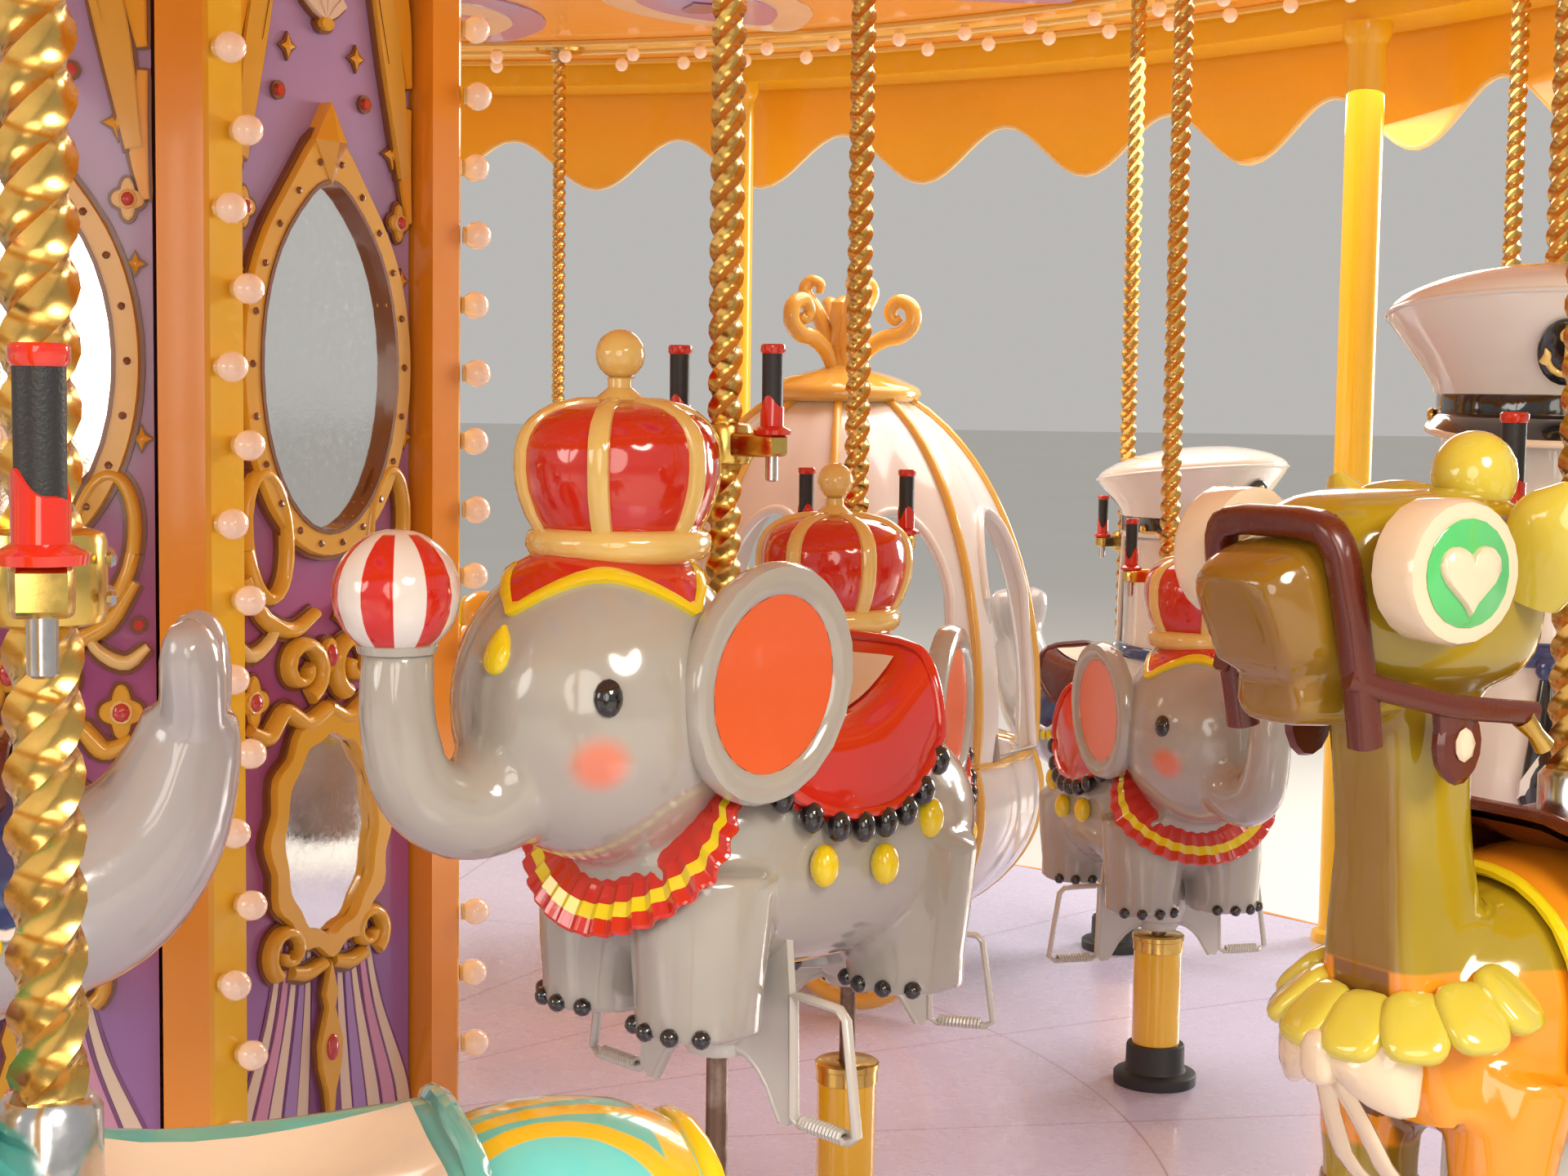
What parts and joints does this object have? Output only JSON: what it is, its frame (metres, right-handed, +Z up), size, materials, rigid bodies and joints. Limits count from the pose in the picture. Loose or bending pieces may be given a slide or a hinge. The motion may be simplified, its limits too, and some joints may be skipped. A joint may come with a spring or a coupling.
{
  "type": "fairground carousel",
  "caption": "Round platform ride with a mirrored drum, scalloped canopy and riding animals on twisted poles that rise and fall.",
  "frame": {"origin": "on the ground at the centre of the mast", "axes": "+Z up along the mast, about which the platform turns; +Y points away from the place the picture was taken from"},
  "size_m": [8.62, 8.62, 5.6203],
  "materials": {
    "dark_steel": "dark grey painted steel",
    "deck_sheet": "pale lilac painted floor sheet, slightly glossy",
    "skirt_orange": "orange gloss paint",
    "drum_orange": "orange fibreglass moulding",
    "drum_panel": "purple fibreglass panel with gold relief and mirrors",
    "ceiling_paint": "orange painted ceiling board",
    "post_yellow": "yellow gloss paint",
    "valance_orange": "orange translucent-looking fibreglass valance",
    "board_orange": "orange fibreglass boards with gold trim",
    "roof_canvas": "striped roof cover",
    "crown_gold": "gold painted finial",
    "carriage_white": "white fibreglass with gold scrolls",
    "elephant_grey": "glossy grey fibreglass with painted trappings",
    "camel_gold": "glossy olive-gold fibreglass with painted trappings",
    "pony_turquoise": "glossy fibreglass with a turquoise blanket",
    "seal_cream": "glossy cream and grey fibreglass with a sea cap",
    "pole_brass": "polished twisted brass"
  },
  "bodies": {
    "base": {"base_plate": "dark_steel", "centre_mast": "dark_steel"},
    "platform": {"deck_frame": "dark_steel", "deck": "deck_sheet", "deck_skirt": "skirt_orange", "drum_frame": "drum_orange", "drum_panel_1": "drum_panel", "drum_panel_2": "drum_panel", "drum_panel_3": "drum_panel", "drum_panel_4": "drum_panel", "drum_panel_5": "drum_panel", "drum_panel_6": "drum_panel", "drum_panel_7": "drum_panel", "drum_panel_8": "drum_panel", "ceiling": "ceiling_paint", "post_frame": "post_yellow", "valance": "valance_orange", "rounding_boards": "board_orange", "roof": "roof_canvas", "roof_crown": "crown_gold", "carriage_body": "carriage_white", "carriage_canopy": "carriage_white"},
    "elephant_1_ride": {"elephant_1": "elephant_grey", "elephant_1_pole": "pole_brass"},
    "elephant_2_ride": {"elephant_2": "elephant_grey", "elephant_2_pole": "pole_brass"},
    "elephant_3_ride": {"elephant_3": "elephant_grey", "elephant_3_pole": "pole_brass"},
    "camel_1_ride": {"camel_1": "camel_gold", "camel_1_pole": "pole_brass"},
    "seal_1_ride": {"seal_1": "seal_cream", "seal_1_pole": "pole_brass"},
    "seal_2_ride": {"seal_2": "seal_cream", "seal_2_pole": "pole_brass"},
    "seal_3_ride": {"seal_3": "seal_cream", "seal_3_pole": "pole_brass"},
    "pony_1_ride": {"pony_1": "pony_turquoise", "pony_1_pole": "pole_brass"},
    "pony_2_ride": {"pony_2": "pony_turquoise", "pony_2_pole": "pole_brass"},
    "camel_2_ride": {"camel_2": "camel_gold", "camel_2_pole": "pole_brass"},
    "elephant_4_ride": {"elephant_4": "elephant_grey", "elephant_4_pole": "pole_brass"},
    "pony_3_ride": {"pony_3": "pony_turquoise", "pony_3_pole": "pole_brass"},
    "camel_3_ride": {"camel_3": "camel_gold", "camel_3_pole": "pole_brass"},
    "seal_4_ride": {"seal_4": "seal_cream", "seal_4_pole": "pole_brass"}
  },
  "joints": [
    {"name": "platform_spin", "type": "hinge", "parent": "base", "child": "platform", "pos_m": [0, 0, 0.19], "axis": [0, 0, 1], "continuous": true},
    {"name": "elephant_1_rise", "type": "slide", "parent": "platform", "child": "elephant_1_ride", "axis": [0, 0, 1], "range_m": [-0.355, 0]},
    {"name": "elephant_2_rise", "type": "slide", "parent": "platform", "child": "elephant_2_ride", "axis": [0, 0, 1], "range_m": [0, 0.209]},
    {"name": "elephant_3_rise", "type": "slide", "parent": "platform", "child": "elephant_3_ride", "axis": [0, 0, 1], "range_m": [0, 0.35501]},
    {"name": "camel_1_rise", "type": "slide", "parent": "platform", "child": "camel_1_ride", "axis": [0, 0, 1], "range_m": [-0.27602, 0]},
    {"name": "seal_1_rise", "type": "slide", "parent": "platform", "child": "seal_1_ride", "axis": [0, 0, 1], "range_m": [-0.35501, 0]},
    {"name": "seal_2_rise", "type": "slide", "parent": "platform", "child": "seal_2_ride", "axis": [0, 0, 1], "range_m": [0, 0.35501]},
    {"name": "seal_3_rise", "type": "slide", "parent": "platform", "child": "seal_3_ride", "axis": [0, 0, 1], "range_m": [-0.286, 0]},
    {"name": "pony_1_rise", "type": "slide", "parent": "platform", "child": "pony_1_ride", "axis": [0, 0, 1], "range_m": [-0.30602, 0]},
    {"name": "pony_2_rise", "type": "slide", "parent": "platform", "child": "pony_2_ride", "axis": [0, 0, 1], "range_m": [0, 0.26899]},
    {"name": "camel_2_rise", "type": "slide", "parent": "platform", "child": "camel_2_ride", "axis": [0, 0, 1], "range_m": [0, 0.35501]},
    {"name": "elephant_4_rise", "type": "slide", "parent": "platform", "child": "elephant_4_ride", "axis": [0, 0, 1], "range_m": [-0.286, 0]},
    {"name": "pony_3_rise", "type": "slide", "parent": "platform", "child": "pony_3_ride", "axis": [0, 0, 1], "range_m": [0, 0.28902]},
    {"name": "camel_3_rise", "type": "slide", "parent": "platform", "child": "camel_3_ride", "axis": [0, 0, 1], "range_m": [-0.30602, 0]},
    {"name": "seal_4_rise", "type": "slide", "parent": "platform", "child": "seal_4_ride", "axis": [0, 0, 1], "range_m": [0, 0.24901]}
  ],
  "couplings": [
    {"joint": "elephant_2_rise", "follows": "elephant_1_rise", "ratio": -0.5887},
    {"joint": "elephant_3_rise", "follows": "elephant_1_rise", "ratio": -1},
    {"joint": "camel_1_rise", "follows": "elephant_1_rise", "ratio": 0.7775},
    {"joint": "seal_1_rise", "follows": "elephant_1_rise", "ratio": 1},
    {"joint": "seal_2_rise", "follows": "elephant_1_rise", "ratio": -1},
    {"joint": "seal_3_rise", "follows": "elephant_1_rise", "ratio": 0.8056},
    {"joint": "pony_1_rise", "follows": "elephant_1_rise", "ratio": 0.862},
    {"joint": "pony_2_rise", "follows": "elephant_1_rise", "ratio": -0.7577},
    {"joint": "camel_2_rise", "follows": "elephant_1_rise", "ratio": -1},
    {"joint": "elephant_4_rise", "follows": "elephant_1_rise", "ratio": 0.8056},
    {"joint": "pony_3_rise", "follows": "elephant_1_rise", "ratio": -0.8141},
    {"joint": "camel_3_rise", "follows": "elephant_1_rise", "ratio": 0.862},
    {"joint": "seal_4_rise", "follows": "elephant_1_rise", "ratio": -0.7014}
  ]
}
